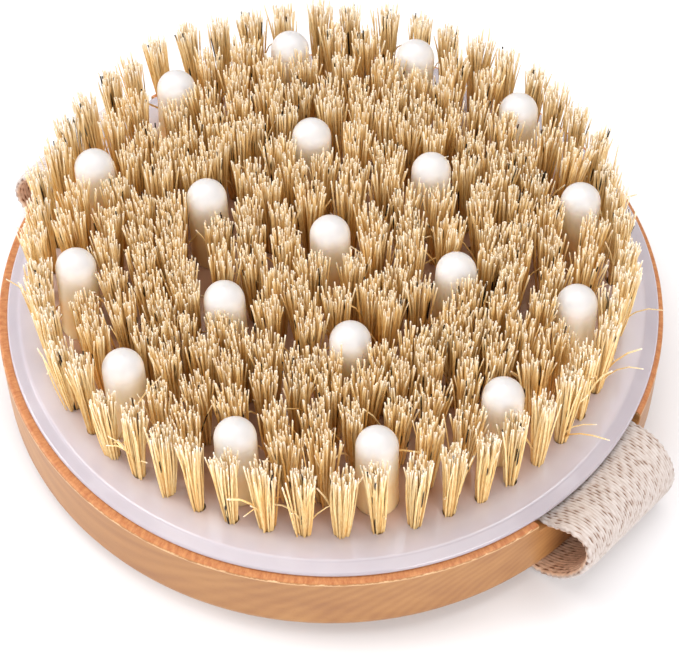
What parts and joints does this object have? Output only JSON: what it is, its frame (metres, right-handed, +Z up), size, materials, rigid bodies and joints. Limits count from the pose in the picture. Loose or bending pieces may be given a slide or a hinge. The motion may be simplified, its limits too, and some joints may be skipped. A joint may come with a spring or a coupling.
{
  "type": "body dry brush",
  "caption": "Round wooden body brush with natural bristle tufts, soft massage nodules in a moulded cushion plate and a woven hand strap round the back.",
  "frame": {"origin": "on the floor under the centre of the brush, at the underside of the strap it lies on", "axes": "+Z up through the bristles, X along the strap, Y across it"},
  "size_m": [0.1492, 0.13, 0.0429],
  "materials": {
    "wood": "satin, lightly waxed",
    "cushion": "glossy, milky",
    "nodule": "smooth, satin",
    "bristle": "natural bristle",
    "webbing": "coarse undyed cotton weave",
    "steel": "plain wire"
  },
  "bodies": {
    "brush": {"wood_body": "wood", "cushion_plate": "cushion", "massage_node_01": "nodule", "massage_node_02": "nodule", "massage_node_03": "nodule", "massage_node_04": "nodule", "massage_node_05": "nodule", "massage_node_06": "nodule", "massage_node_07": "nodule", "massage_node_08": "nodule", "massage_node_09": "nodule", "massage_node_10": "nodule", "massage_node_11": "nodule", "massage_node_12": "nodule", "massage_node_13": "nodule", "massage_node_14": "nodule", "massage_node_15": "nodule", "massage_node_16": "nodule", "massage_node_17": "nodule", "massage_node_18": "nodule", "massage_node_19": "nodule", "bristle_ring_1": "bristle", "bristle_ring_2": "bristle", "bristle_ring_3": "bristle", "bristle_ring_4": "bristle", "bristle_ring_5": "bristle", "bristle_ring_6": "bristle", "bristle_ring_7": "bristle", "bristle_ring_8": "bristle", "strap_end_left": "webbing", "strap_end_right": "webbing", "strap_staple_left_front": "steel", "strap_staple_left_back": "steel", "strap_staple_right_front": "steel", "strap_staple_right_back": "steel"},
    "strap": {"strap_span": "webbing"}
  },
  "joints": [
    {"name": "strap_lift", "type": "slide", "parent": "brush", "child": "strap", "axis": [0, 0, -1], "range_m": [0, 0.018]}
  ]
}
